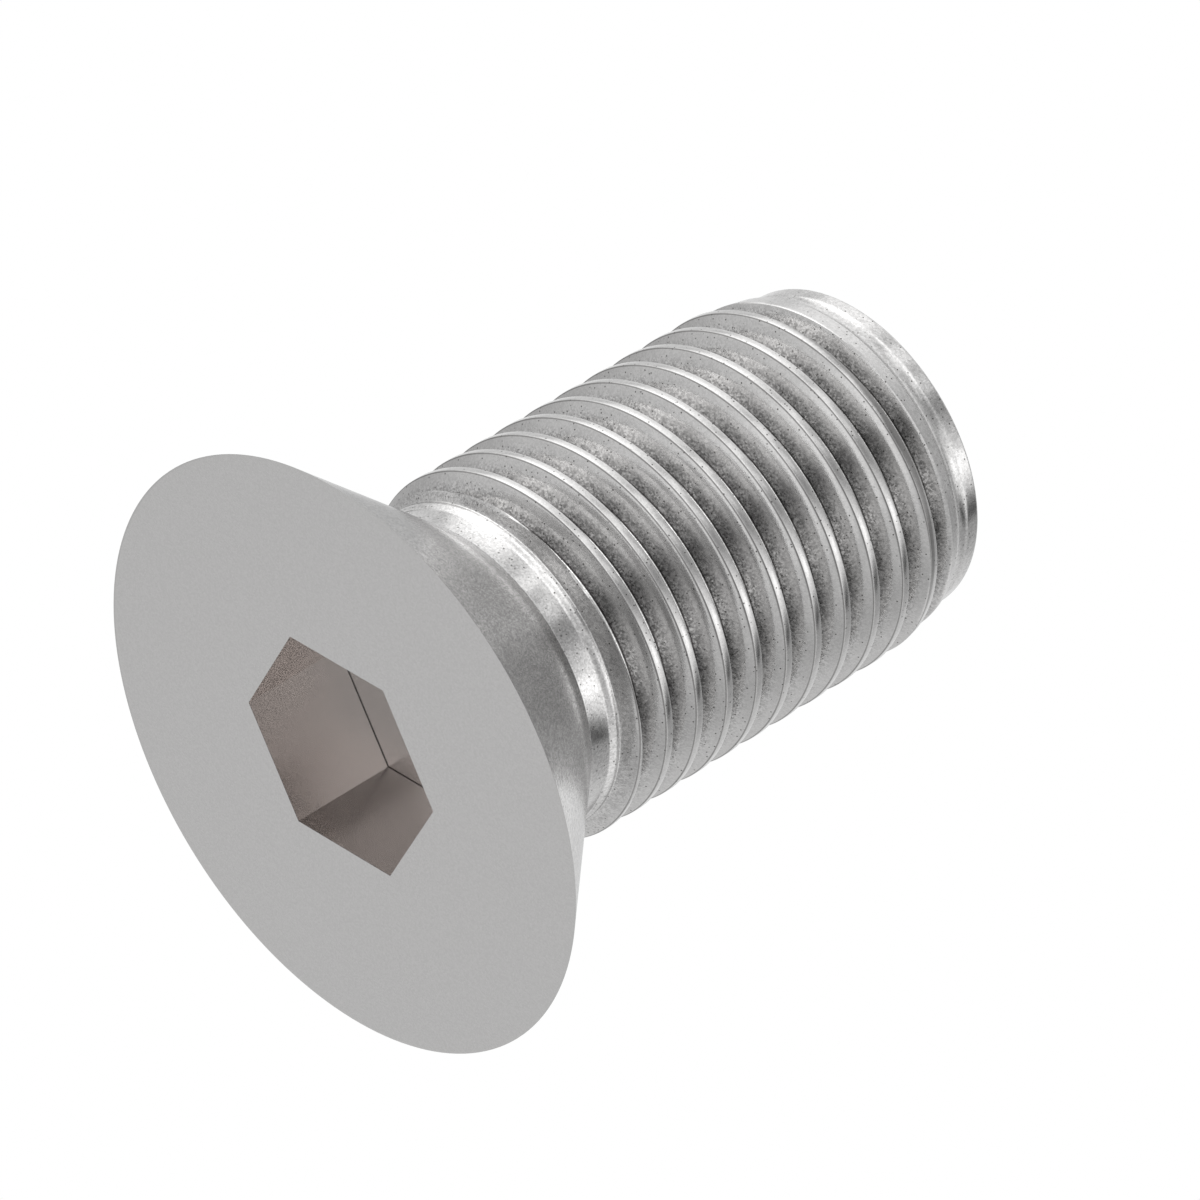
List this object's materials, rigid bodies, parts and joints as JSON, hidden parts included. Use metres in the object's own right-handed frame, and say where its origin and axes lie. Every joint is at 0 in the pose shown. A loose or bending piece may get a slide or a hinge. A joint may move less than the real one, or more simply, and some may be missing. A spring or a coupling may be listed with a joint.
{
  "type": "countersunk socket head screw",
  "caption": "Countersunk screw with a hexagonal socket in its flat conical head, a short plain neck, and a fine-threaded shank that tapers at its end.",
  "frame": {"origin": "centre of the flat face of the head, which the screw stands on", "axes": "+Z along the screw's axis, from the head face to the end of the shank; +X through a corner of the hexagonal socket"},
  "size_m": [0.023, 0.023, 0.0256],
  "materials": {
    "steel": "satin"
  },
  "bodies": {
    "root": {"socket_screw": "steel"}
  },
  "joints": []
}
